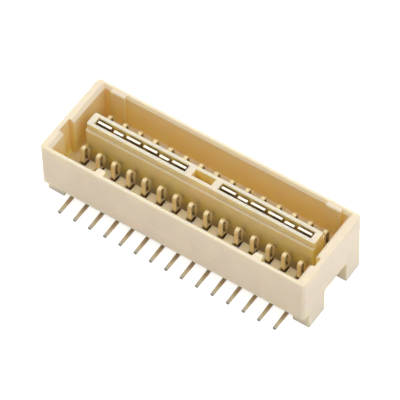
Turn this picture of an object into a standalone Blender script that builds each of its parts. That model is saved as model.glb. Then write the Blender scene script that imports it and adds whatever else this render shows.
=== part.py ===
"""Double-row pin header connector for surface mounting, two rows of fifteen contacts.

A moulded shroud stands on four corner feet. Inside it two rows of contacts with
sprung eyes rise from pockets in two shelves, and an island in the trench between them
holds ground clips in its two slots. X runs along the rows, +Z points away from the
board, and the origin is the middle of the footprint on the board's surface.
Everything is in metres.
"""

import math

import bmesh
import bpy
from mathutils import Matrix, Vector

MM = 0.001

# Contact grid
POSITIONS = 15
PITCH = 1.00 * MM
ROW_SPACING = 2.25 * MM
ROW_CENTRE_Y = 0.14 * MM
END_MARGIN = 1.50 * MM

# Lower body and its feet
BODY_DEPTH = 5.11 * MM
FOOT_LENGTH = 1.04 * MM
BODY_UNDERSIDE = 0.35 * MM
ARCH_WIDTH = 2.16 * MM
ARCH_HEIGHT = 1.65 * MM
ARCH_RECESS = 0.18 * MM
PASSAGE_HEIGHT = 1.23 * MM
PASSAGE_STEP = 0.02 * MM
ARCH_RADIUS = 0.16 * MM

# Shroud
FRONT_OVERHANG = 0.53 * MM
SHROUD_BOTTOM = 1.25 * MM
RIM_HEIGHT = 4.30 * MM
LONG_WALL = 0.33 * MM
END_WALL = 0.60 * MM
FLOOR_TOP = 1.45 * MM
CORNER_RADIUS = 0.24 * MM
RIM_BEVEL = 0.05 * MM
CAVITY_RADIUS = 0.12 * MM
LEAD_IN_HEIGHT = 0.18 * MM
LONG_LEAD_IN = 0.14 * MM
END_LEAD_IN = 0.20 * MM

# Key grooves in the end walls, guide lands on the back wall, lock bosses on the front wall
LEFT_KEY_WIDTH = 0.95 * MM
RIGHT_KEY_WIDTH = 0.62 * MM
KEY_DEPTH = 0.32 * MM
KEY_FROM_FRONT = 1.46 * MM
LAND_WIDTH = 0.93 * MM
LAND_DEPTH = 0.13 * MM
LAND_FROM_END = 0.47 * MM
LAND_CHAMFER = 0.07 * MM
LAND_BELOW_RIM = 0.02 * MM
BOSS_WIDTH = 0.58 * MM
BOSS_REACH = 0.30 * MM
BOSS_HEIGHT = 0.62 * MM
BOSS_BELOW_RIM = 0.05 * MM
BOSS_TOP_DROP = 0.05 * MM
BOSS_FOOT_RISE = 0.30 * MM
BOSS_TAPER = 0.07 * MM
BOSS_LEFT_X = -4.77 * MM
BOSS_RIGHT_X = 5.33 * MM

# Shelves that the rows stand in, and the trench between them
SHELF_TOP = 1.87 * MM
SHELF_EDGE = 0.10 * MM
SHELF_PAST_ROW = 0.30 * MM
TRENCH_BOTTOM = 0.92 * MM
POCKET_SIDE = 0.09 * MM
POCKET_FRONT = 0.05 * MM

# Island in the trench
ISLAND_BELOW_RIM = 0.18 * MM
ISLAND_WIDTH = 0.89 * MM
ISLAND_END_GAP = 0.55 * MM
LEDGE_DROP = 0.46 * MM
LEDGE_WIDTH = 0.13 * MM
ISLAND_RADIUS = 0.10 * MM
SLOT_WIDTH = 0.48 * MM
SLOT_END_WALL = 0.36 * MM
SLOT_BOTTOM = 1.00 * MM
RECESS_LENGTH = 1.28 * MM
RECESS_DEPTH = 0.90 * MM
WEB = 0.42 * MM

# Contacts blanked from sheet: a sprung eye on a solid root, with a leg and a tail below
CONTACT_WIDTH = 0.22 * MM
SPRING = 0.11 * MM
TAIL = 0.15 * MM
LEG_Y = -0.27 * MM
NOSE_BELOW_RIM = 0.85 * MM
NOSE_RADIUS = 0.17 * MM
BULGE_Y = 0.43 * MM
BULGE_RISE = 0.56 * MM
KNEE_Y = 0.11 * MM
KNEE_RISE = 0.25 * MM
BEND_RADIUS = 0.12 * MM
EYE_BACK_Y = 0.12 * MM
EYE_RADIUS = 0.06 * MM
ROOT_RISE = 0.13 * MM
TAIL_REACH = 3.685 * MM
HEEL_RADIUS = 0.22 * MM

# Ground clips, formed from flat strip
CLIPS_PER_SLOT = 2
CLIP_STRIP = 0.15 * MM
CLIP_BELOW_ISLAND = 0.06 * MM
OUTER_FINGER = 0.88 * MM
MIDDLE_FINGER = 0.60 * MM
FINGER_GAP = 0.20 * MM
CLIP_GAP = 0.22 * MM
CLIP_BAND = 0.80 * MM
OUTER_LEAN = 0.03 * MM
MIDDLE_LEAN = -0.03 * MM
LEAN_RISE = 0.60 * MM
CLIP_LEG = 0.50 * MM

FIT = 0.02 * MM
OVERRUN = 0.20 * MM
WELD = 0.001 * MM
ARC_STEPS = 4
PARALLEL = 0.99
MITRE_LIMIT = 0.2

ROW_LENGTH = (POSITIONS - 1) * PITCH
LENGTH = ROW_LENGTH + 2 * END_MARGIN
END_X = LENGTH / 2
BACK_Y = BODY_DEPTH / 2
BODY_FRONT_Y = -BODY_DEPTH / 2
FRONT_Y = BODY_FRONT_Y - FRONT_OVERHANG
CAVITY_X = END_X - END_WALL
CAVITY_FRONT_Y = FRONT_Y + LONG_WALL
CAVITY_BACK_Y = BACK_Y - LONG_WALL
WALL_MIDDLE = LONG_WALL / 2
ISLAND_TOP = RIM_HEIGHT - ISLAND_BELOW_RIM
LEDGE_HEIGHT = ISLAND_TOP - LEDGE_DROP
NOSE_Z = RIM_HEIGHT - NOSE_BELOW_RIM
ROOT_TOP = SHELF_TOP + ROOT_RISE
ROOT_BOTTOM = TRENCH_BOTTOM + FIT
CLIP_TOP = ISLAND_TOP - CLIP_BELOW_ISLAND
SHELF_X = ROW_LENGTH / 2 + SHELF_PAST_ROW
TRENCH_WIDTH = ROW_SPACING - 2 * SHELF_EDGE
ISLAND_X = CAVITY_X - ISLAND_END_GAP
SLOT_INNER_X = RECESS_LENGTH / 2 + WEB
SLOT_OUTER_X = ISLAND_X - SLOT_END_WALL
CLIP_LENGTH = 2 * OUTER_FINGER + MIDDLE_FINGER + 2 * FINGER_GAP


def clear_scene():
    """Remove every object and the data that the start-up scene holds."""
    for item in list(bpy.data.objects):
        bpy.data.objects.remove(item, do_unlink=True)
    for item in list(bpy.data.collections):
        bpy.data.collections.remove(item)


def new_collection(name):
    """A collection linked to the scene."""
    collection = bpy.data.collections.new(name)
    bpy.context.scene.collection.children.link(collection)
    return collection


def plain_material(name, colour, roughness, metallic):
    """A Principled BSDF material with one colour."""
    material = bpy.data.materials.new(name)
    material.use_nodes = True
    shader = material.node_tree.nodes["Principled BSDF"]
    shader.inputs["Base Color"].default_value = (*colour, 1.0)
    shader.inputs["Roughness"].default_value = roughness
    shader.inputs["Metallic"].default_value = metallic
    return material


def add_mesh(name, form, collection):
    """Turn a bmesh into an object in the collection."""
    mesh = bpy.data.meshes.new(name)
    form.to_mesh(mesh)
    form.free()
    item = bpy.data.objects.new(name, mesh)
    collection.objects.link(item)
    return item


def along(edge, axis):
    """Whether the edge runs along the axis, 0 for X, 1 for Y and 2 for Z."""
    direction = edge.verts[1].co - edge.verts[0].co
    return abs(direction[axis]) > PARALLEL * direction.length


def grow_box(form, x, y, z, radius=0.0, axis=2):
    """Add a box between the given limits, its edges along one axis rounded."""
    size = Vector((x[1] - x[0], y[1] - y[0], z[1] - z[0]))
    middle = Vector((sum(x), sum(y), sum(z))) / 2
    place = Matrix.Translation(middle) @ Matrix.Diagonal((*size, 1.0))
    made = bmesh.ops.create_cube(form, size=1.0, matrix=place)
    if radius > 0:
        edges = {edge for vert in made["verts"] for edge in vert.link_edges}
        bmesh.ops.bevel(
            form,
            geom=[edge for edge in edges if along(edge, axis)],
            offset=radius,
            segments=ARC_STEPS,
            profile=0.5,
            affect="EDGES",
        )


def box_object(name, collection, x, y, z, radius=0.0, axis=2):
    """One box as an object of its own."""
    form = bmesh.new()
    grow_box(form, x, y, z, radius, axis)
    return add_mesh(name, form, collection)


def helper(item):
    """Mark an object as a guide for a Boolean, left out of a render."""
    item.hide_render = True
    item.display_type = "WIRE"
    return item


def boolean(target, other, operation):
    """Add an exact Boolean modifier that uses the other object."""
    modifier = target.modifiers.new(other.name, "BOOLEAN")
    modifier.operation = operation
    modifier.solver = "EXACT"
    modifier.object = helper(other)


def centred(middle, width):
    """The two limits of a width about its middle."""
    return (middle - width / 2, middle + width / 2)


def fillet(before, corner, after, radius):
    """Points of the arc that rounds a corner between two straight runs."""
    towards = (before - corner).normalized()
    onwards = (after - corner).normalized()
    half = towards.angle(onwards) / 2
    middle = corner + (towards + onwards).normalized() * (radius / math.sin(half))
    start = corner + towards * (radius / math.tan(half)) - middle
    turn = (math.pi - 2 * half) * math.copysign(1, towards.cross(onwards))
    steps = max(2, round(abs(turn) / (math.pi / 2) * ARC_STEPS))
    points = []
    for step in range(steps + 1):
        angle = -turn * step / steps
        spun = Matrix.Rotation(angle, 2) @ start
        points.append(middle + spun)
    return points


def strip_sides(route, thicknesses):
    """Both edges of a strip that follows a middle line, with its thickness at each point."""
    sides = ([], [])
    for index, point in enumerate(route):
        before = route[max(index - 1, 0)]
        after = route[min(index + 1, len(route) - 1)]
        onwards = (after - point).normalized() if after != point else Vector((0, 0))
        reached = (point - before).normalized() if before != point else Vector((0, 0))
        heading = (onwards + reached).normalized()
        straight = onwards if onwards.length > 0 else reached
        across = Vector((-heading.y, heading.x))
        reach = thicknesses[index] / 2 / max(MITRE_LIMIT, heading.dot(straight))
        sides[0].append(point + across * reach)
        sides[1].append(point - across * reach)
    return sides


def flat_curve(name, outlines, width):
    """A filled flat curve of closed outlines, as thick as the piece is wide."""
    curve = bpy.data.curves.new(name, "CURVE")
    curve.dimensions = "2D"
    curve.fill_mode = "BOTH"
    curve.extrude = width / 2
    for outline in outlines:
        spline = curve.splines.new("POLY")
        spline.points.add(len(outline) - 1)
        for point, place in zip(spline.points, outline):
            point.co = (place.x, place.y, 0.0, 1.0)
        spline.use_cyclic_u = True
    return curve


def contact_outlines(tail_length):
    """The closed outlines of a contact and of its eye, seen along the row.

    The first axis points from the row's middle line away from the tail, the second up.
    """
    tip = Vector((-tail_length, TAIL / 2))
    heel = Vector((LEG_Y, TAIL / 2))
    nose = Vector((LEG_Y, NOSE_Z))
    bulge = Vector((BULGE_Y, SHELF_TOP + BULGE_RISE))
    knee = Vector((KNEE_Y, SHELF_TOP + KNEE_RISE))
    foot = Vector((KNEE_Y, ROOT_BOTTOM))
    thick = [tip] + fillet(tip, heel, nose, HEEL_RADIUS) + [Vector((LEG_Y, TRENCH_BOTTOM))]
    front_root = Vector((LEG_Y, ROOT_TOP))
    turn = fillet(heel, nose, bulge, NOSE_RADIUS)
    back = fillet(nose, bulge, knee, BEND_RADIUS) + fillet(bulge, knee, foot, BEND_RADIUS) + [foot]
    eye_top = nose.lerp(bulge, (EYE_BACK_Y - LEG_Y) / (BULGE_Y - LEG_Y))
    eye_foot = Vector((EYE_BACK_Y, ROOT_TOP))
    eye_turn = fillet(nose, eye_top, eye_foot, EYE_RADIUS)
    thicknesses = [TAIL] * len(thick) + [SPRING] * len([front_root] + turn + back)
    outer, inner = strip_sides(thick + [front_root] + turn + back, thicknesses)
    under_leg = inner[:len(thick)]
    root_corner = Vector((under_leg[-1].x, ROOT_BOTTOM))
    eye_route = [front_root] + turn + eye_turn + [eye_foot]
    eye = strip_sides(eye_route, [SPRING] * len(eye_route))[1]
    return [outer + [root_corner] + under_leg[::-1], eye]


def row_places():
    """X of each contact in a row."""
    return [(index - (POSITIONS - 1) / 2) * PITCH for index in range(POSITIONS)]


def add_row(name, side, material, collection):
    """One row of contacts. Side is -1 for the row whose tails point to the front."""
    row_y = ROW_CENTRE_Y + side * ROW_SPACING / 2
    tail_length = TAIL_REACH - side * row_y
    curve = flat_curve(name, contact_outlines(tail_length), CONTACT_WIDTH)
    curve.materials.append(material)
    turned = math.pi / 2 if side < 0 else -math.pi / 2
    for number, x in enumerate(row_places(), start=1):
        item = bpy.data.objects.new(f"{name}_{number:02d}", curve)
        item.location = (x, row_y, 0.0)
        item.rotation_euler = (math.pi / 2, 0.0, turned)
        collection.objects.link(item)


def finger_outline(lean):
    """The closed outline of a clip's finger, from inside its band to its tip."""
    foot = SLOT_BOTTOM + FIT
    bend = foot + CLIP_BAND
    route = [
        Vector((0.0, foot)),
        Vector((0.0, bend)),
        Vector((lean, bend + LEAN_RISE)),
        Vector((lean, CLIP_TOP)),
    ]
    front, back = strip_sides(route, [CLIP_STRIP] * len(route))
    return front + back[::-1]


def as_mesh(item):
    """Turn a curve object into a mesh object of the same name, its caps welded."""
    graph = bpy.context.evaluated_depsgraph_get()
    name = item.name
    mesh = bpy.data.meshes.new_from_object(item.evaluated_get(graph))
    form = bmesh.new()
    form.from_mesh(mesh)
    bmesh.ops.remove_doubles(form, verts=form.verts, dist=WELD)
    form.to_mesh(mesh)
    form.free()
    made = bpy.data.objects.new(name, mesh)
    made.matrix_world = item.matrix_world
    for collection in item.users_collection:
        collection.objects.link(made)
    bpy.data.objects.remove(item)
    made.name = name
    return made


def add_finger(name, x, width, lean, guides):
    """A finger of a clip as a guide for a Boolean, standing at X."""
    item = bpy.data.objects.new(name, flat_curve(name, [finger_outline(lean)], width))
    item.location = (x, ROW_CENTRE_Y, 0.0)
    item.rotation_euler = (math.pi / 2, 0.0, math.pi / 2)
    guides.objects.link(item)
    bpy.context.view_layer.update()
    return as_mesh(item)


def clip_places():
    """X of the middle of each ground clip, from left to right."""
    slot_middle = (SLOT_INNER_X + SLOT_OUTER_X) / 2
    step = CLIP_LENGTH + CLIP_GAP
    offsets = [(index - (CLIPS_PER_SLOT - 1) / 2) * step for index in range(CLIPS_PER_SLOT)]
    return sorted(side * slot_middle + offset for side in (-1, 1) for offset in offsets)


def add_clip(number, x, material, collection, guides):
    """A ground clip: a band with a solder leg below and three fingers above."""
    name = f"ground_clip_{number}"
    sheet = centred(ROW_CENTRE_Y, CLIP_STRIP)
    foot = SLOT_BOTTOM + FIT
    clip = box_object(
        name, collection, centred(x, CLIP_LENGTH), sheet, (foot, foot + CLIP_BAND)
    )
    leg = box_object(
        f"{name}_leg", guides, centred(x, CLIP_LEG), sheet, (0.0, foot + CLIP_BAND / 2)
    )
    boolean(clip, leg, "UNION")
    aside = (MIDDLE_FINGER + OUTER_FINGER) / 2 + FINGER_GAP
    fingers = (
        ("left", x - aside, OUTER_FINGER, OUTER_LEAN),
        ("middle", x, MIDDLE_FINGER, MIDDLE_LEAN),
        ("right", x + aside, OUTER_FINGER, OUTER_LEAN),
    )
    for place, finger_x, width, lean in fingers:
        finger = add_finger(f"{name}_{place}", finger_x, width, lean, guides)
        boolean(clip, finger, "UNION")
    clip.data.materials.append(material)


def outer_block(collection):
    """The housing's outer form, with round corners and a softened rim."""
    form = bmesh.new()
    grow_box(form, (-END_X, END_X), (FRONT_Y, BACK_Y), (0.0, RIM_HEIGHT), CORNER_RADIUS)
    rim = [
        edge
        for edge in form.edges
        if all(vert.co.z > RIM_HEIGHT - RIM_BEVEL for vert in edge.verts)
    ]
    bmesh.ops.bevel(
        form, geom=rim, offset=RIM_BEVEL, segments=2, profile=0.5, affect="EDGES"
    )
    return add_mesh("housing", form, collection)


def overhang_cutter(guides):
    """What is taken from under the front wall, which overhangs the body."""
    return box_object(
        "overhang_cutter",
        guides,
        (-END_X - OVERRUN, END_X + OVERRUN),
        (FRONT_Y - OVERRUN, BODY_FRONT_Y),
        (-OVERRUN, SHROUD_BOTTOM),
    )


def underside_cutter(guides):
    """What is taken from the body between the feet, along the rows."""
    return box_object(
        "underside_cutter",
        guides,
        (-END_X + FOOT_LENGTH, END_X - FOOT_LENGTH),
        (FRONT_Y - OVERRUN, BACK_Y + OVERRUN),
        (-OVERRUN, BODY_UNDERSIDE),
    )


def arch_cutters(guides):
    """The low passage between the feet of each end and the arch in its outer face."""
    passage = bmesh.new()
    arches = bmesh.new()
    for side in (-1, 1):
        inner = side * (END_X - FOOT_LENGTH - PASSAGE_STEP)
        outer = side * (END_X + OVERRUN)
        recess = side * (END_X - ARCH_RECESS)
        grow_box(
            passage,
            sorted((inner, outer)),
            centred(0.0, ARCH_WIDTH),
            (-OVERRUN, PASSAGE_HEIGHT),
        )
        grow_box(
            arches,
            sorted((recess, outer)),
            centred(0.0, ARCH_WIDTH),
            (-OVERRUN, ARCH_HEIGHT),
            ARCH_RADIUS,
            axis=0,
        )
    return (
        add_mesh("passage_cutter", passage, guides),
        add_mesh("arch_cutter", arches, guides),
    )


def cavity_cutter(guides):
    """The space inside the shroud."""
    return box_object(
        "cavity_cutter",
        guides,
        (-CAVITY_X, CAVITY_X),
        (CAVITY_FRONT_Y, CAVITY_BACK_Y),
        (FLOOR_TOP, RIM_HEIGHT + OVERRUN),
        CAVITY_RADIUS,
    )


def lead_in_cutter(guides):
    """The sloped mouth of the cavity, carried on past the rim at the same slope."""
    form = bmesh.new()
    low = RIM_HEIGHT - LEAD_IN_HEIGHT
    high = RIM_HEIGHT + OVERRUN
    spread = (high - low) / LEAD_IN_HEIGHT
    middle_y = (CAVITY_FRONT_Y + CAVITY_BACK_Y) / 2
    grow_box(
        form,
        (-CAVITY_X, CAVITY_X),
        (CAVITY_FRONT_Y, CAVITY_BACK_Y),
        (low, high),
        CAVITY_RADIUS,
    )
    for vert in form.verts:
        if vert.co.z > RIM_HEIGHT:
            vert.co.x += math.copysign(END_LEAD_IN * spread, vert.co.x)
            vert.co.y += math.copysign(LONG_LEAD_IN * spread, vert.co.y - middle_y)
    return add_mesh("lead_in_cutter", form, guides)


def key_cutter(guides):
    """The grooves down the inside of the end walls, the left one wider as a key."""
    form = bmesh.new()
    front = FRONT_Y + KEY_FROM_FRONT
    for side, width in ((-1, LEFT_KEY_WIDTH), (1, RIGHT_KEY_WIDTH)):
        inner = side * (CAVITY_X - OVERRUN)
        outer = side * (CAVITY_X + KEY_DEPTH)
        grow_box(
            form,
            sorted((inner, outer)),
            (front, front + width),
            (FLOOR_TOP, RIM_HEIGHT + OVERRUN),
        )
    return add_mesh("key_cutter", form, guides)


def guide_lands(guides):
    """The thin lands near both ends of the back wall's inner face."""
    form = bmesh.new()
    face = CAVITY_BACK_Y - LAND_DEPTH
    top = RIM_HEIGHT - LAND_BELOW_RIM
    for side in (-1, 1):
        outer = side * (CAVITY_X - LAND_FROM_END)
        inner = side * (CAVITY_X - LAND_FROM_END - LAND_WIDTH)
        grow_box(
            form,
            sorted((inner, outer)),
            (face, CAVITY_BACK_Y + WALL_MIDDLE),
            (FLOOR_TOP - OVERRUN, top),
        )
    mouths = [
        edge
        for edge in form.edges
        if all(vert.co.y < CAVITY_BACK_Y and vert.co.z > FLOOR_TOP for vert in edge.verts)
    ]
    bmesh.ops.bevel(form, geom=mouths, offset=LAND_CHAMFER, segments=1, affect="EDGES")
    return add_mesh("guide_lands", form, guides)


def lock_bosses(guides):
    """The two wedges on the front wall's inner face that hold the plug."""
    form = bmesh.new()
    top = RIM_HEIGHT - BOSS_BELOW_RIM
    middle = top - BOSS_HEIGHT / 2
    for x in (BOSS_LEFT_X, BOSS_RIGHT_X):
        made = bmesh.ops.create_cube(form, size=1.0)
        for vert in made["verts"]:
            outward = vert.co.y > 0
            upward = vert.co.z > 0
            half = BOSS_WIDTH / 2 - (BOSS_TAPER if outward else 0.0)
            vert.co.x = x + math.copysign(half, vert.co.x)
            vert.co.y = CAVITY_FRONT_Y + (BOSS_REACH if outward else -WALL_MIDDLE)
            vert.co.z = middle + math.copysign(BOSS_HEIGHT / 2, vert.co.z)
            if outward:
                vert.co.z += -BOSS_TOP_DROP if upward else BOSS_FOOT_RISE
    return add_mesh("lock_bosses", form, guides)


def shelves(guides):
    """The raised floor on both sides, up to the trench."""
    form = bmesh.new()
    for side, wall_y in ((-1, CAVITY_FRONT_Y), (1, CAVITY_BACK_Y)):
        edge_y = ROW_CENTRE_Y + side * TRENCH_WIDTH / 2
        grow_box(
            form,
            (-SHELF_X, SHELF_X),
            sorted((edge_y, wall_y + side * WALL_MIDDLE)),
            (FLOOR_TOP - OVERRUN, SHELF_TOP),
        )
    return add_mesh("shelves", form, guides)


def trench_cutter(guides):
    """The trench between the rows, which leaves the contacts room to spring."""
    return box_object(
        "trench_cutter",
        guides,
        (-SHELF_X, SHELF_X),
        centred(ROW_CENTRE_Y, TRENCH_WIDTH),
        (TRENCH_BOTTOM, SHELF_TOP + OVERRUN),
    )


def island_tiers(guides):
    """The island's narrow upper tier and the wider tier below its ledge."""
    upper = box_object(
        "island_upper",
        guides,
        (-ISLAND_X, ISLAND_X),
        centred(ROW_CENTRE_Y, ISLAND_WIDTH),
        (LEDGE_HEIGHT - OVERRUN, ISLAND_TOP),
        ISLAND_RADIUS,
    )
    lower = box_object(
        "island_lower",
        guides,
        (-ISLAND_X, ISLAND_X),
        centred(ROW_CENTRE_Y, ISLAND_WIDTH + 2 * LEDGE_WIDTH),
        (TRENCH_BOTTOM - OVERRUN, LEDGE_HEIGHT),
        ISLAND_RADIUS,
    )
    return upper, lower


def island_cutter(guides):
    """The two clip slots and the shorter recess between them."""
    form = bmesh.new()
    across = centred(ROW_CENTRE_Y, SLOT_WIDTH)
    for side in (-1, 1):
        grow_box(
            form,
            sorted((side * SLOT_INNER_X, side * SLOT_OUTER_X)),
            across,
            (SLOT_BOTTOM, ISLAND_TOP + OVERRUN),
        )
    grow_box(
        form,
        centred(0.0, RECESS_LENGTH),
        across,
        (ISLAND_TOP - RECESS_DEPTH, ISLAND_TOP + OVERRUN),
    )
    return add_mesh("island_cutter", form, guides)


def pocket_cutter(guides):
    """The notches in the shelves around the contacts' roots, open to the trench."""
    form = bmesh.new()
    reach = SPRING / 2 - LEG_Y + POCKET_FRONT
    for side in (-1, 1):
        row_y = ROW_CENTRE_Y + side * ROW_SPACING / 2
        for x in row_places():
            grow_box(
                form,
                centred(x, CONTACT_WIDTH + 2 * POCKET_SIDE),
                sorted((row_y - side * OVERRUN, row_y + side * reach)),
                (TRENCH_BOTTOM, SHELF_TOP + OVERRUN),
            )
    return add_mesh("pocket_cutter", form, guides)


def leg_cutter(guides):
    """The close holes through the floor for the contacts' legs and the clips' legs."""
    form = bmesh.new()
    for side in (-1, 1):
        leg_y = ROW_CENTRE_Y + side * (ROW_SPACING / 2 - LEG_Y)
        for x in row_places():
            grow_box(
                form,
                centred(x, CONTACT_WIDTH + 2 * FIT),
                centred(leg_y, TAIL + 2 * FIT),
                (BODY_UNDERSIDE - OVERRUN, TRENCH_BOTTOM + OVERRUN),
            )
    for x in clip_places():
        grow_box(
            form,
            centred(x, CLIP_LEG + 2 * FIT),
            centred(ROW_CENTRE_Y, CLIP_STRIP + 2 * FIT),
            (BODY_UNDERSIDE - OVERRUN, SLOT_BOTTOM + OVERRUN),
        )
    return add_mesh("leg_cutter", form, guides)


def add_housing(material, collection, guides):
    """The moulded housing, one piece from its feet to its rim."""
    housing = outer_block(collection)
    boolean(housing, overhang_cutter(guides), "DIFFERENCE")
    boolean(housing, underside_cutter(guides), "DIFFERENCE")
    for cutter in arch_cutters(guides):
        boolean(housing, cutter, "DIFFERENCE")
    boolean(housing, cavity_cutter(guides), "DIFFERENCE")
    boolean(housing, lead_in_cutter(guides), "DIFFERENCE")
    boolean(housing, guide_lands(guides), "UNION")
    boolean(housing, key_cutter(guides), "DIFFERENCE")
    boolean(housing, lock_bosses(guides), "UNION")
    boolean(housing, shelves(guides), "UNION")
    boolean(housing, trench_cutter(guides), "DIFFERENCE")
    for tier in island_tiers(guides):
        boolean(housing, tier, "UNION")
    boolean(housing, island_cutter(guides), "DIFFERENCE")
    boolean(housing, pocket_cutter(guides), "DIFFERENCE")
    boolean(housing, leg_cutter(guides), "DIFFERENCE")
    housing.data.materials.append(material)


def main():
    clear_scene()
    parts = new_collection("pin_header_connector")
    guides = new_collection("cutters")
    ivory = plain_material("ivory_moulding", (0.73, 0.62, 0.45), 0.55, 0.0)
    tinned = plain_material("tinned_bronze", (0.66, 0.52, 0.34), 0.32, 1.0)
    bright = plain_material("bright_tin", (0.82, 0.80, 0.74), 0.25, 1.0)
    add_housing(ivory, parts, guides)
    add_row("contact_front", -1, tinned, parts)
    add_row("contact_back", 1, tinned, parts)
    for number, x in enumerate(clip_places(), start=1):
        add_clip(number, x, bright, parts, guides)


if __name__ == "__main__":
    main()
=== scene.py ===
"""Looks for a shrouded surface-mount pin header: its moulding, its platings and its studio."""

import math

import bmesh
import bpy
from mathutils import Matrix, Vector


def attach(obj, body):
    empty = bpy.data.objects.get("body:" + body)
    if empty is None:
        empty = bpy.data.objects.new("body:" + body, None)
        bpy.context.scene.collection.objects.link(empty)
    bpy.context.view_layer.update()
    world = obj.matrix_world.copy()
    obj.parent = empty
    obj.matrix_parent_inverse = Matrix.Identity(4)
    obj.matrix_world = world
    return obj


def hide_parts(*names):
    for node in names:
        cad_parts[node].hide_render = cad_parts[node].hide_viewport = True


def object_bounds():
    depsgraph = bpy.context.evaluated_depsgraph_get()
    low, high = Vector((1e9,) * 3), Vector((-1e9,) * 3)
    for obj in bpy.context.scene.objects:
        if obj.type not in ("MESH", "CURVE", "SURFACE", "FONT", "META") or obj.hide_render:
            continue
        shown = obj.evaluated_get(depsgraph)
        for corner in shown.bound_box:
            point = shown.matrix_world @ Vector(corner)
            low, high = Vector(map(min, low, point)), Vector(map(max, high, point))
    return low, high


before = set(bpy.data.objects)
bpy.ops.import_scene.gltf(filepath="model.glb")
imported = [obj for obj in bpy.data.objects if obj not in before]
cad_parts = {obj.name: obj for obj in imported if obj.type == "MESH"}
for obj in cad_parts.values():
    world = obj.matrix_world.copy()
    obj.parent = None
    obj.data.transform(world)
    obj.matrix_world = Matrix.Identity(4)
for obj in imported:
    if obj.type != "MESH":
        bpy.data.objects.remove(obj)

bl_info = {
    "name": "Pin Header Looks",
    "version": (1, 0, 0),
    "blender": (4, 5, 0),
    "location": "3D View > Sidebar > Pin Header",
    "description": "Gives a shrouded pin header its moulded and plated finishes and lights it",
    "category": "Material",
}

CAD_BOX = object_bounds()
MM = 0.001

# Corners closer than this are one, faces this nearly in one plane are one, and edges
# that turn by more than this are rolled.
SAME_PLACE = 0.0005 * MM
FLAT = math.radians(1)
CORNER = math.radians(50)
ROLL_SEGMENTS = 3
ROLL_PROFILE = 0.5

# How near its farthest point a contact counts as the tip of its tail.
TIP = 0.05 * MM

WHITE = (1.0, 1.0, 1.0)
BLACK = (0.0, 0.0, 0.0)

# Rays cast at each point to find how sheltered it is, and how near an edge.
SHELTER_SAMPLES = 8
EDGE_SAMPLES = 6


def linear(hex_colour):
    """Turns an sRGB hex colour into linear values."""
    levels = [int(hex_colour[i:i + 2], 16) / 255 for i in (1, 3, 5)]
    return tuple(v / 12.92 if v <= 0.04045 else ((v + 0.055) / 1.055) ** 2.4 for v in levels)


def per_metre(size):
    """The texture scale at which a pattern repeats about once in this size."""
    return 1 / size


def add_node(tree, kind, inputs=None, **settings):
    """Adds one node, applies its settings, and fills or links its inputs."""
    node = tree.nodes.new(kind)
    for name, value in settings.items():
        setattr(node, name, value)
    for name, value in (inputs or {}).items():
        if isinstance(value, bpy.types.NodeSocket):
            tree.links.new(value, node.inputs[name])
        else:
            node.inputs[name].default_value = value
    return node


def new_material(name):
    """Starts an empty material and returns it with its node tree."""
    material = bpy.data.materials.new(name)
    material.use_nodes = True
    material.node_tree.nodes.clear()
    return material, material.node_tree


def set_ramp(node, stops):
    """Gives a colour ramp these places and colours."""
    ramp = node.color_ramp
    while len(ramp.elements) < len(stops):
        ramp.elements.new(0.5)
    for element, (place, colour) in zip(ramp.elements, stops):
        element.position = place
        element.color = (*colour, 1.0)


def background_rays(tree):
    """Gives 1 to rays that see the background: the camera's, off a gloss and through glass."""
    rays = add_node(tree, "ShaderNodeLightPath")
    mirrored = add_node(tree, "ShaderNodeMath", {
        0: rays.outputs["Is Camera Ray"], 1: rays.outputs["Is Glossy Ray"]}, operation="ADD")
    through = add_node(tree, "ShaderNodeMath", {
        0: mirrored.outputs["Value"], 1: rays.outputs["Is Transmission Ray"]},
        operation="ADD", use_clamp=True)
    return through.outputs["Value"]


# Settings


class HousingSettings(bpy.types.PropertyGroup):
    """The moulded housing's plastic."""

    surface: bpy.props.FloatVectorProperty(
        name="Surface", description="Colour of the open faces", subtype="COLOR",
        size=3, min=0, max=1, default=linear("#EEE0C9"))
    # Painted glow: the next two colours tint deep recesses amber, standing in for light that
    # comes through thin walls.
    painted_depth_glow: bpy.props.FloatVectorProperty(
        name="Depths", description="Colour that deep recesses take on", subtype="COLOR",
        size=3, min=0, max=1, default=linear("#F1DA9A"))
    painted_deepest_glow: bpy.props.FloatVectorProperty(
        name="Deepest", description="Colour at the bottom of narrow recesses", subtype="COLOR",
        size=3, min=0, max=1, default=linear("#FCE086"))
    roughness: bpy.props.FloatProperty(
        name="Roughness", description="Gloss of the mould finish", subtype="FACTOR",
        min=0, max=1, default=0.42)
    glow_depth: bpy.props.FloatProperty(
        name="Glow depth", description="How far light wanders inside the plastic",
        unit="LENGTH", min=0, default=0.42 * MM)
    recess_reach: bpy.props.FloatProperty(
        name="Recess reach", description="Opening across which a place counts as a recess",
        unit="LENGTH", min=0, default=3.0 * MM)
    # Painted shade: the dark colour of narrow openings beside the metal and in the slots.
    shaded_gaps: bpy.props.FloatVectorProperty(
        name="Gaps", description="Colour of the narrow gaps beside the metal", subtype="COLOR",
        size=3, min=0, max=1, default=linear("#4E3C24"))
    gap_reach: bpy.props.FloatProperty(
        name="Gap reach", description="Opening across which a place counts as a narrow gap",
        unit="LENGTH", min=0, default=0.42 * MM)


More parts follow.
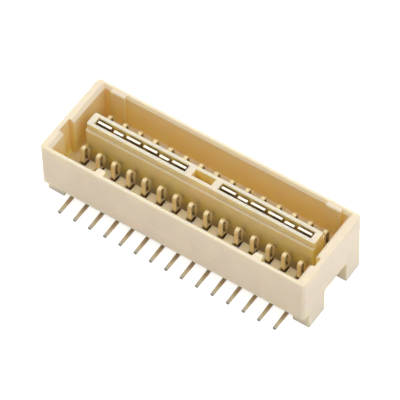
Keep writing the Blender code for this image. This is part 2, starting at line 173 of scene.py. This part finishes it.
class ContactSettings(bpy.types.PropertyGroup):
    """The blanked contacts' strip and plating."""

    gold: bpy.props.FloatVectorProperty(
        name="Gold flash", description="Plating on the mating ends", subtype="COLOR",
        size=3, min=0, max=1, default=linear("#E6D6AA"))
    tin: bpy.props.FloatVectorProperty(
        name="Tin", description="Plating on the solder tails", subtype="COLOR",
        size=3, min=0, max=1, default=linear("#DCCCA6"))
    # Painted shade: the brown at the tails' roots stands in for the shadow under the housing.
    shaded_root_tin: bpy.props.FloatVectorProperty(
        name="Heated tin", description="Tin at the tails' roots, where the plating ends",
        subtype="COLOR", size=3, min=0, max=1, default=linear("#C6AC86"))
    tip: bpy.props.FloatVectorProperty(
        name="Tip tin", description="Greyer tin at the tails' tips", subtype="COLOR",
        size=3, min=0, max=1, default=linear("#C2C2B4"))
    bare: bpy.props.FloatVectorProperty(
        name="Bare metal", description="Cut ends of the tails", subtype="COLOR",
        size=3, min=0, max=1, default=linear("#94928A"))
    # Painted shade: this dark brown stands in for the shade inside the contacts' eyes.
    painted_eye_shade: bpy.props.FloatVectorProperty(
        name="Sheltered metal", description="Thin plating inside the eyes", subtype="COLOR",
        size=3, min=0, max=1, default=linear("#553813"))
    roughness: bpy.props.FloatProperty(
        name="Roughness", description="Gloss of the plating", subtype="FACTOR",
        min=0, max=1, default=0.58)
    plating_line: bpy.props.FloatProperty(
        name="Plating line", description="Height at which gold gives way to tin",
        unit="LENGTH", default=0.75 * MM)
    edge_radius: bpy.props.FloatProperty(
        name="Edge radius", description="Rounding of the strip's rolled edges", unit="LENGTH",
        min=0, default=0.035 * MM)
    tip_share: bpy.props.FloatProperty(
        name="Tip width", description="Width of a tail's tip as a share of its root",
        subtype="FACTOR", min=0, max=1, default=0.80)


class ClipSettings(bpy.types.PropertyGroup):
    """The ground clips' bright tin."""

    tin: bpy.props.FloatVectorProperty(
        name="Bright tin", description="Plating of the clips", subtype="COLOR",
        size=3, min=0, max=1, default=linear("#D4CCBE"))
    roughness: bpy.props.FloatProperty(
        name="Roughness", description="Gloss of the plating", subtype="FACTOR",
        min=0, max=1, default=0.35)
    edge_radius: bpy.props.FloatProperty(
        name="Edge radius", description="Rounding of the stamped edges", unit="LENGTH",
        min=0, default=0.03 * MM)


class StudioSettings(bpy.types.PropertyGroup):
    """The floor, the lamps and the surroundings."""

    floor: bpy.props.FloatVectorProperty(
        name="Floor", description="Colour of the floor", subtype="COLOR",
        size=3, min=0, max=1, default=linear("#F2F1EE"))
    floor_size: bpy.props.FloatProperty(
        name="Floor size", description="Side of the square floor", unit="LENGTH",
        min=0, default=1200 * MM)
    top_power: bpy.props.FloatProperty(
        name="Top lamp", description="Power of the soft lamp above", unit="POWER",
        min=0, default=0.80)
    right_power: bpy.props.FloatProperty(
        name="Right lamp", description="Power of the soft lamp at the right end", unit="POWER",
        min=0, default=0.09)
    surround: bpy.props.FloatProperty(
        name="Surround", description="Strength of the room's own light", min=0, default=0.56)
    lens: bpy.props.FloatProperty(
        name="Lens", description="Focal length that frames the photograph", unit="CAMERA",
        min=1, default=367.68)


# Materials


def moulded_polyamide(settings):
    """Natural ivory polyamide with short glass fibre, injection moulded.

    Open faces are a pale matt ivory with a faint cloud of fibre swirls. Light wanders a
    little way in, which gives thin walls some real glow; the warm amber on walls and in deep
    recesses is a painted glow, and the dark beside the metal and in the slots is painted shade.
    """
    # The ivory is darkest where the swirl is below its first level, and palest above the
    # second. The two shares say by how much.
    fibre_swirl = 1.6 * MM
    swirl_ends = (0.30, 0.70)
    swirl_dark, swirl_pale = 0.955, 1.03
    # The real grain is about 0.02 mm wide. It is drawn coarser, so that it shows.
    mould_grain = 0.12 * MM
    grain_height = 0.004 * MM
    grain_strength = 0.5
    edge_radius = 0.05 * MM
    polyamide_ior = 1.53
    # Red light wanders farthest in the plastic, and blue the least.
    wander_by_colour = (1.0, 0.86, 0.38)
    # Painted glow: the amber grows between these heights. Faces that look up get less of it,
    # as if the light fell straight on them: this share where they lie flat, and more as they
    # tilt away.
    amber_starts, amber_full = 0.80 * MM, 2.00 * MM
    tilt_starts, amber_on_flats = 0.3, 0.35
    # How open a place is, from 0 to 1, where the painted amber is full and where it is gone.
    amber_shut, amber_open = 0.30, 0.88
    # The same where the strongest painted amber gives way to the milder one.
    deepest_shut, depths_open = 0.06, 0.22
    # Painted shade darkens narrow openings up in the island's slots, and much less so down in
    # the pockets.
    pocket_top, slot_level = 2.00 * MM, 3.00 * MM
    pocket_share = 0.15
    gap_shut, gap_open = 0.12, 0.42
    material, tree = new_material("Moulded natural polyamide")
    place = add_node(tree, "ShaderNodeTexCoord").outputs["Object"]
    swirl = add_node(tree, "ShaderNodeTexNoise", {
        "Vector": place, "Scale": per_metre(fibre_swirl), "Detail": 4.0,
        "Roughness": 0.6, "Distortion": 0.8})
    grain = add_node(tree, "ShaderNodeTexNoise", {
        "Vector": place, "Scale": per_metre(mould_grain), "Detail": 2.0})
    cloud = add_node(tree, "ShaderNodeValToRGB", {"Fac": swirl.outputs["Fac"]})
    set_ramp(cloud, [
        (swirl_ends[0], tuple(v * swirl_dark for v in settings.surface)),
        (swirl_ends[1], tuple(min(v * swirl_pale, 1.0) for v in settings.surface))])
    # Painted glow: the amber tint grows where little of the room's light reaches a place, on
    # walls more than on faces that look up.
    depth = add_node(tree, "ShaderNodeAmbientOcclusion", {
        "Distance": settings.recess_reach}, samples=SHELTER_SAMPLES)
    amber = add_node(tree, "ShaderNodeValToRGB", {"Fac": depth.outputs["AO"]})
    set_ramp(amber, [(amber_shut, WHITE), (amber_open, BLACK)])
    facing = add_node(tree, "ShaderNodeSeparateXYZ", {
        "Vector": add_node(tree, "ShaderNodeNewGeometry").outputs["True Normal"]})
    painted_glow_by_facing = add_node(tree, "ShaderNodeMapRange", {
        "Value": facing.outputs["Z"], "From Min": tilt_starts, "From Max": 1.0,
        "To Min": 1.0, "To Max": amber_on_flats})
    height = add_node(tree, "ShaderNodeSeparateXYZ", {"Vector": place})
    inside = add_node(tree, "ShaderNodeMapRange", {
        "Value": height.outputs["Z"], "From Min": amber_starts, "From Max": amber_full})
    painted_glow_share = add_node(tree, "ShaderNodeMath", {
        0: inside.outputs["Result"], 1: painted_glow_by_facing.outputs["Result"]}, operation="MULTIPLY")
    glow = add_node(tree, "ShaderNodeMath", {
        0: amber.outputs["Color"], 1: painted_glow_share.outputs["Value"]}, operation="MULTIPLY")
    shade = add_node(tree, "ShaderNodeValToRGB", {"Fac": depth.outputs["AO"]})
    set_ramp(shade, [
        (deepest_shut, tuple(settings.painted_deepest_glow)), (depths_open, tuple(settings.painted_depth_glow))])
    open_colour = add_node(tree, "ShaderNodeMixRGB", {
        "Fac": glow.outputs["Value"], "Color1": cloud.outputs["Color"],
        "Color2": shade.outputs["Color"]})
    narrow = add_node(tree, "ShaderNodeMapRange", {
        "Value": height.outputs["Z"], "From Min": pocket_top, "From Max": slot_level,
        "To Min": pocket_share, "To Max": 1.0})
    opening = add_node(tree, "ShaderNodeMath", {
        0: narrow.outputs["Result"], 1: settings.gap_reach}, operation="MULTIPLY")
    # Painted shade: places close to other faces turn dark.
    shade_nearness = add_node(tree, "ShaderNodeAmbientOcclusion", {
        "Distance": opening.outputs["Value"]}, samples=SHELTER_SAMPLES)
    shut = add_node(tree, "ShaderNodeValToRGB", {"Fac": shade_nearness.outputs["AO"]})
    set_ramp(shut, [(gap_shut, WHITE), (gap_open, BLACK)])
    painted_shade_share = add_node(tree, "ShaderNodeMath", {
        0: shut.outputs["Color"], 1: narrow.outputs["Result"]}, operation="MULTIPLY")
    colour = add_node(tree, "ShaderNodeMixRGB", {
        "Fac": painted_shade_share.outputs["Value"], "Color1": open_colour.outputs["Color"],
        "Color2": (*settings.shaded_gaps, 1.0)})
    soft_edge = add_node(tree, "ShaderNodeBevel", {"Radius": edge_radius}, samples=EDGE_SAMPLES)
    bump = add_node(tree, "ShaderNodeBump", {
        "Height": grain.outputs["Fac"], "Strength": grain_strength, "Distance": grain_height,
        "Normal": soft_edge.outputs["Normal"]})
    shader = add_node(tree, "ShaderNodeBsdfPrincipled", {
        "Base Color": colour.outputs["Color"], "Roughness": settings.roughness,
        "IOR": polyamide_ior, "Subsurface Weight": 1.0, "Subsurface Radius": wander_by_colour,
        "Subsurface Scale": settings.glow_depth, "Normal": bump.outputs["Normal"]})
    add_node(tree, "ShaderNodeOutputMaterial", {"Surface": shader.outputs["BSDF"]})
    return material


def plated_bronze(settings):
    """Phosphor bronze strip, blanked and plated, gold flash above and tin on the tails.

    The mating ends gleam pale gold, with fine lines along their blanked edges. The tails are
    duller, with brown painted shade where they leave the housing, then olive halfway and grey
    at the tip, and show darker bare metal where they were cut off. Inside the eyes the dark
    brown is painted shade.
    """
    # Real lines are a few thousandths of a millimetre apart. They are drawn coarser, so
    # that they show.
    edge_line = 0.03 * MM
    stretch = 0.08
    line_height = 0.001 * MM
    line_strength = 0.4
    # The roughness swings between these shares of its setting, from patch to patch.
    tarnish_patch = 0.5 * MM
    patch_gloss, patch_dull = 0.8, 1.3
    # Half the height of the band where the two platings meet.
    band = 0.25 * MM
    # How far out the tails' colours begin, with brown painted shade at the root, and at which
    # share of the rest the tin shows its own colour.
    tail_root = 2.80 * MM
    tail_middle = 0.55
    # How far in from a tail's end the bare metal reaches.
    cut_depth = 0.04 * MM
    # Painted shade darkens the eyes within this reach. The two shares are how open a place is
    # where the painted shade is darkest and where it is gone.
    eye_shade_reach = 0.42 * MM
    eye_shut, eye_open = 0.56, 0.84
    # Shares of metal in the shine: the plating is dull, the tin more so than the gold.
    dull_tin, dull_gold = 0.15, 0.5
    material, tree = new_material("Gold-flashed phosphor bronze")
    place = add_node(tree, "ShaderNodeTexCoord").outputs["Object"]
    parts = add_node(tree, "ShaderNodeSeparateXYZ", {"Vector": place})
    lines = add_node(tree, "ShaderNodeMapping", {
        "Vector": place, "Scale": (1.0, stretch, stretch)})
    lined = add_node(tree, "ShaderNodeTexNoise", {
        "Vector": lines.outputs["Vector"], "Scale": per_metre(edge_line), "Detail": 2.0})
    patch = add_node(tree, "ShaderNodeTexNoise", {
        "Vector": place, "Scale": per_metre(tarnish_patch), "Detail": 3.0})
    level = add_node(tree, "ShaderNodeMapRange", {
        "Value": parts.outputs["Z"], "From Min": settings.plating_line - band,
        "From Max": settings.plating_line + band})
    reach = add_node(tree, "ShaderNodeMath", {0: parts.outputs["Y"]}, operation="ABSOLUTE")
    along = add_node(tree, "ShaderNodeMapRange", {
        "Value": reach.outputs["Value"], "From Min": tail_root, "From Max": CAD_BOX[1].y})
    # Painted shade at the roots: the tail ramp runs from brown where the tails leave the
    # housing to the tin, then greyer towards the tip.
    tail = add_node(tree, "ShaderNodeValToRGB", {"Fac": along.outputs["Result"]})
    set_ramp(tail, [
        (0.0, tuple(settings.shaded_root_tin)), (tail_middle, tuple(settings.tin)),
        (1.0, tuple(settings.tip))])
    plating = add_node(tree, "ShaderNodeMixRGB", {
        "Fac": level.outputs["Result"], "Color1": tail.outputs["Color"],
        "Color2": (*settings.gold, 1.0)})
    cut_end = add_node(tree, "ShaderNodeMapRange", {
        "Value": reach.outputs["Value"], "From Min": CAD_BOX[1].y - cut_depth,
        "From Max": CAD_BOX[1].y - cut_depth / 2})
    bare = add_node(tree, "ShaderNodeMixRGB", {
        "Fac": cut_end.outputs["Result"], "Color1": plating.outputs["Color"],
        "Color2": (*settings.bare, 1.0)})
    # Painted shade: the gold turns dark brown where other faces are close, as inside the eyes.
    shade_nearness = add_node(tree, "ShaderNodeAmbientOcclusion", {
        "Distance": eye_shade_reach}, samples=SHELTER_SAMPLES)
    painted_eye_shade = add_node(tree, "ShaderNodeValToRGB", {"Fac": shade_nearness.outputs["AO"]})
    set_ramp(painted_eye_shade, [(eye_shut, WHITE), (eye_open, BLACK)])
    painted_eye_shade_share = add_node(tree, "ShaderNodeMath", {
        0: painted_eye_shade.outputs["Color"], 1: level.outputs["Result"]}, operation="MULTIPLY")
    colour = add_node(tree, "ShaderNodeMixRGB", {
        "Fac": painted_eye_shade_share.outputs["Value"], "Color1": bare.outputs["Color"],
        "Color2": (*settings.painted_eye_shade, 1.0)})
    bright_metal = add_node(tree, "ShaderNodeMapRange", {
        "Value": level.outputs["Result"], "To Min": dull_tin, "To Max": dull_gold})
    dulled = add_node(tree, "ShaderNodeMapRange", {
        "Value": patch.outputs["Fac"], "To Min": settings.roughness * patch_gloss,
        "To Max": settings.roughness * patch_dull})
    bump = add_node(tree, "ShaderNodeBump", {
        "Height": lined.outputs["Fac"], "Strength": line_strength, "Distance": line_height})
    shader = add_node(tree, "ShaderNodeBsdfPrincipled", {
        "Base Color": colour.outputs["Color"], "Metallic": bright_metal.outputs["Result"],
        "Roughness": dulled.outputs["Result"], "Normal": bump.outputs["Normal"]})
    add_node(tree, "ShaderNodeOutputMaterial", {"Surface": shader.outputs["BSDF"]})
    return material


def bright_tin(settings):
    """Stamped strip with bright tin plating.

    The tops are nearly white where they meet the light, with a faint grain, and fine
    rolling marks run up the fingers.
    """
    # Rolling lines and tin grains are far finer than this. They are drawn coarser, so that
    # they show.
    rolling_line = 0.04 * MM
    stretch = 0.1
    line_height = 0.001 * MM
    line_strength = 0.4
    tin_grain = 0.10 * MM
    grain_ends = (0.3, 0.7)
    grain_dark = 0.93
    material, tree = new_material("Bright tin plate")
    place = add_node(tree, "ShaderNodeTexCoord").outputs["Object"]
    lines = add_node(tree, "ShaderNodeMapping", {"Vector": place, "Scale": (1.0, 1.0, stretch)})
    rolled = add_node(tree, "ShaderNodeTexNoise", {
        "Vector": lines.outputs["Vector"], "Scale": per_metre(rolling_line), "Detail": 2.0})
    grain = add_node(tree, "ShaderNodeTexNoise", {
        "Vector": place, "Scale": per_metre(tin_grain), "Detail": 2.0})
    tint = add_node(tree, "ShaderNodeValToRGB", {"Fac": grain.outputs["Fac"]})
    set_ramp(tint, [
        (grain_ends[0], tuple(v * grain_dark for v in settings.tin)),
        (grain_ends[1], tuple(settings.tin))])
    bump = add_node(tree, "ShaderNodeBump", {
        "Height": rolled.outputs["Fac"], "Strength": line_strength, "Distance": line_height})
    shader = add_node(tree, "ShaderNodeBsdfPrincipled", {
        "Base Color": tint.outputs["Color"], "Metallic": 1.0,
        "Roughness": settings.roughness, "Normal": bump.outputs["Normal"]})
    add_node(tree, "ShaderNodeOutputMaterial", {"Surface": shader.outputs["BSDF"]})
    return material


def painted_floor(settings):
    """A pale matt floor that shows as white and keeps the header's shadow."""
    # With the lamps' light, this brings the floor to white where no shadow falls.
    own_light = 0.72
    material, tree = new_material("Pale matt floor")
    seen = add_node(tree, "ShaderNodeMath", {0: background_rays(tree), 1: own_light},
                    operation="MULTIPLY")
    matt = add_node(tree, "ShaderNodeBsdfDiffuse", {"Color": (*settings.floor, 1.0)})
    glow = add_node(tree, "ShaderNodeEmission", {"Strength": seen.outputs["Value"]})
    both = add_node(tree, "ShaderNodeAddShader", {
        0: matt.outputs["BSDF"], 1: glow.outputs["Emission"]})
    add_node(tree, "ShaderNodeOutputMaterial", {"Surface": both.outputs["Shader"]})
    return material


def dress(name, material):
    """Puts one material into every slot of a CAD node."""
    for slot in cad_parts[name].material_slots:
        slot.material = material


def nodes_starting(prefix):
    """The CAD nodes whose names start this way."""
    return [name for name in sorted(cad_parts) if name.startswith(prefix)]


def round_edges(form, radius):
    """Rolls every corner edge of a form."""
    bmesh.ops.remove_doubles(form, verts=form.verts, dist=SAME_PLACE)
    bmesh.ops.dissolve_limit(form, angle_limit=FLAT, verts=form.verts, edges=form.edges)
    corners = [edge for edge in form.edges
               if len(edge.link_faces) == 2 and edge.calc_face_angle() > CORNER]
    bmesh.ops.bevel(form, geom=corners, offset=radius, segments=ROLL_SEGMENTS,
                    profile=ROLL_PROFILE, affect="EDGES", clamp_overlap=True)
    for face in form.faces:
        face.smooth = True


def narrow_tip(form, share):
    """Narrows a contact's tail towards its tip to this share of its width."""
    middle = sum(vert.co.x for vert in form.verts) / len(form.verts)
    farthest = max(abs(vert.co.y) for vert in form.verts)
    for vert in form.verts:
        if abs(vert.co.y) > farthest - TIP:
            vert.co.x = middle + (vert.co.x - middle) * share


def add_rounded(name, radius, material, tip_share=1.0):
    """A piece with rolled edges that stands for a CAD node of the same shape."""
    form = bmesh.new()
    form.from_mesh(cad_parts[name].data)
    narrow_tip(form, tip_share)
    round_edges(form, radius)
    mesh = bpy.data.meshes.new(f"{name}_rolled")
    form.to_mesh(mesh)
    form.free()
    mesh.materials.append(material)
    piece = bpy.data.objects.new(f"{name}_rolled", mesh)
    bpy.context.scene.collection.objects.link(piece)
    weighted = piece.modifiers.new("Even shading", "WEIGHTED_NORMAL")
    weighted.keep_sharp = True
    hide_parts(name)
    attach(piece, "root")


# Studio


def add_lamp(name, power, size, place, aim):
    """A square soft lamp at a place, turned to shine at a point."""
    data = bpy.data.lights.new(name, "AREA")
    data.energy = power
    data.shape = "SQUARE"
    data.size = size
    lamp = bpy.data.objects.new(name, data)
    bpy.context.scene.collection.objects.link(lamp)
    lamp.location = place
    lamp.rotation_euler = (aim - place).to_track_quat("-Z", "Y").to_euler()


def add_surround(strength):
    """The room: plain light from above, dimmer near the ground, before a white background."""
    # The light at the horizon as a share of the full light, and how high up it is full.
    near_ground, full_from = 0.25, 0.6
    world = bpy.data.worlds.new("Studio room")
    world.use_nodes = True
    tree = world.node_tree
    tree.nodes.clear()
    way = add_node(tree, "ShaderNodeTexCoord").outputs["Generated"]
    parts = add_node(tree, "ShaderNodeSeparateXYZ", {"Vector": way})
    shade = add_node(tree, "ShaderNodeValToRGB", {"Fac": parts.outputs["Z"]})
    set_ramp(shade, [(0.0, (near_ground,) * 3), (full_from, WHITE)])
    room = add_node(tree, "ShaderNodeBackground", {
        "Color": shade.outputs["Color"], "Strength": strength})
    white = add_node(tree, "ShaderNodeBackground", {
        "Color": (*WHITE, 1.0), "Strength": 1.0})
    mix = add_node(tree, "ShaderNodeMixShader", {
        0: background_rays(tree), 1: room.outputs["Background"],
        2: white.outputs["Background"]})
    add_node(tree, "ShaderNodeOutputWorld", {"Surface": mix.outputs["Shader"]})
    bpy.context.scene.world = world


def add_camera(lens):
    """The camera of the photograph: from the front right, 53 degrees up, 221 mm away."""
    azimuth = math.radians(35.61164517)
    elevation = math.radians(53.41972518)
    roll = math.radians(-1.90996462)
    # Where the header stands from the camera: to the side, down and away.
    offset = Vector((-0.3307, 1.9704, 221.015)) * MM
    depth_shift = 0.945 * MM
    # Blender takes the sensor, like the lens, in plain millimetres.
    sensor_width = 36.0
    nearest, farthest = 10 * MM, 4000 * MM
    away = Vector((math.sin(azimuth) * math.cos(elevation),
                   -math.cos(azimuth) * math.cos(elevation), math.sin(elevation)))
    right = Vector((math.cos(azimuth), math.sin(azimuth), 0))
    down = -away.cross(right)
    side = math.cos(roll) * right - math.sin(roll) * down
    drop = math.sin(roll) * right + math.cos(roll) * down
    turn = Matrix((side, drop, -away))
    place = -(turn.transposed() @ offset) - Vector((0, depth_shift, 0))
    data = bpy.data.cameras.new("Photograph")
    data.lens = lens
    data.sensor_width = sensor_width
    data.clip_start, data.clip_end = nearest, farthest
    camera = bpy.data.objects.new("Photograph", data)
    bpy.context.scene.collection.objects.link(camera)
    camera.matrix_world = Matrix.Translation(place) @ Matrix(
        (side, -drop, away)).transposed().to_4x4()
    bpy.context.scene.camera = camera


# Operators


class HEADER_OT_mould_housing(bpy.types.Operator):
    """Gives the housing its moulded plastic"""

    bl_idname = "pin_header.mould_housing"
    bl_label = "Mould Housing"

    def execute(self, context):
        dress("housing", moulded_polyamide(context.scene.header_housing))
        return {"FINISHED"}


class HEADER_OT_plate_contacts(bpy.types.Operator):
    """Plates both rows of contacts"""

    bl_idname = "pin_header.plate_contacts"
    bl_label = "Plate Contacts"

    def execute(self, context):
        settings = context.scene.header_contacts
        material = plated_bronze(settings)
        for name in nodes_starting("contact_"):
            add_rounded(name, settings.edge_radius, material,
                        settings.tip_share)
        return {"FINISHED"}


class HEADER_OT_tin_clips(bpy.types.Operator):
    """Tins the ground clips in the island"""

    bl_idname = "pin_header.tin_clips"
    bl_label = "Tin Clips"

    def execute(self, context):
        settings = context.scene.header_clips
        material = bright_tin(settings)
        for name in nodes_starting("ground_clip_"):
            add_rounded(name, settings.edge_radius, material)
        return {"FINISHED"}


class HEADER_OT_set_studio(bpy.types.Operator):
    """Lays the floor and sets the lamps, the room and the camera"""

    bl_idname = "pin_header.set_studio"
    bl_label = "Set Studio"

    def execute(self, context):
        settings = context.scene.header_studio
        top_size, top_place = 520 * MM, Vector((-80, 112, 190)) * MM
        right_size, right_place = 140 * MM, Vector((200, -20, 120)) * MM
        # The floor lies this much under the feet, so that no two faces share a plane.
        floor_gap = 0.002 * MM
        half = settings.floor_size / 2
        low = CAD_BOX[0].z - floor_gap
        mesh = bpy.data.meshes.new("Floor")
        mesh.from_pydata([(-half, -half, low), (half, -half, low), (half, half, low),
                          (-half, half, low)], [], [(0, 1, 2, 3)])
        floor = bpy.data.objects.new("Floor", mesh)
        floor.data.materials.append(painted_floor(settings))
        context.scene.collection.objects.link(floor)
        aim = (CAD_BOX[0] + CAD_BOX[1]) / 2
        add_lamp("Top soft lamp", settings.top_power, top_size, top_place, aim)
        add_lamp("Right soft lamp", settings.right_power, right_size, right_place, aim)
        add_surround(settings.surround)
        add_camera(settings.lens)
        context.scene.view_settings.view_transform = "Standard"
        return {"FINISHED"}


class HEADER_PT_looks(bpy.types.Panel):
    """Lists the header's pieces in the 3D view's sidebar"""

    bl_idname = "HEADER_PT_looks"
    bl_label = "Pin Header"
    bl_space_type = "VIEW_3D"
    bl_region_type = "UI"
    bl_category = "Pin Header"

    def draw(self, context):
        for group_name, (group, operator) in STEPS.items():
            box = self.layout.box()
            box.operator(operator.bl_idname)
            settings = getattr(context.scene, group_name)
            for field in group.__annotations__:
                box.prop(settings, field)


STEPS = {
    "header_housing": (HousingSettings, HEADER_OT_mould_housing),
    "header_contacts": (ContactSettings, HEADER_OT_plate_contacts),
    "header_clips": (ClipSettings, HEADER_OT_tin_clips),
    "header_studio": (StudioSettings, HEADER_OT_set_studio),
}


def register():
    """Adds the settings, the operators and the panel to Blender."""
    for group_name, (group, operator) in STEPS.items():
        bpy.utils.register_class(group)
        bpy.utils.register_class(operator)
        setattr(bpy.types.Scene, group_name, bpy.props.PointerProperty(type=group))
    bpy.utils.register_class(HEADER_PT_looks)


def unregister():
    """Takes them out again."""
    bpy.utils.unregister_class(HEADER_PT_looks)
    for group_name, (group, operator) in reversed(STEPS.items()):
        delattr(bpy.types.Scene, group_name)
        bpy.utils.unregister_class(operator)
        bpy.utils.unregister_class(group)


def main():
    """Runs every step in order."""
    register()
    bpy.ops.pin_header.mould_housing()
    bpy.ops.pin_header.plate_contacts()
    bpy.ops.pin_header.tin_clips()
    bpy.ops.pin_header.set_studio()


if __name__ == "__main__":
    main()
